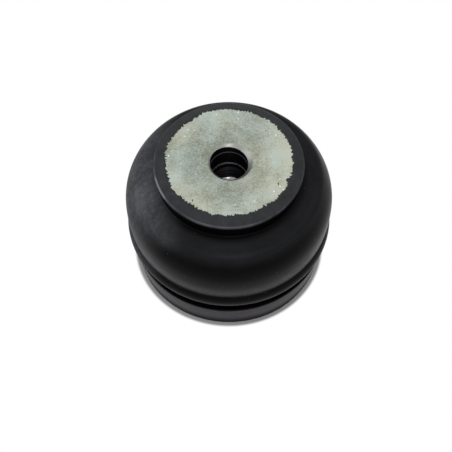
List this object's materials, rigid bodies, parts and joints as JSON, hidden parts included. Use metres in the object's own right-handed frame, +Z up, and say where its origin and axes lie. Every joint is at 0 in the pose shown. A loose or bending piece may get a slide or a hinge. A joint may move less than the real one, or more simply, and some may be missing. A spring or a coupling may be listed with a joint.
{
  "type": "anti-vibration mount",
  "caption": "Domed black rubber anti-vibration mount with a bare round steel face, a collar, a grooved base band and a tapped blind screw hole at each end.",
  "frame": {"origin": "centre of the base, on the floor", "axes": "+Z up the axis of the mount, from the base to the bare steel face; the mount is round, so +X is any direction across it"},
  "size_m": [0.0467, 0.0466, 0.035],
  "materials": {
    "rubber": "moulded black rubber, satin, a little dusty",
    "plated_steel": "pale zinc plating, dull and mottled",
    "base_steel": "pale zinc plating, dull and mottled"
  },
  "bodies": {
    "root": {"rubber_body": "rubber", "top_insert": "plated_steel", "base_insert": "base_steel"}
  },
  "joints": []
}
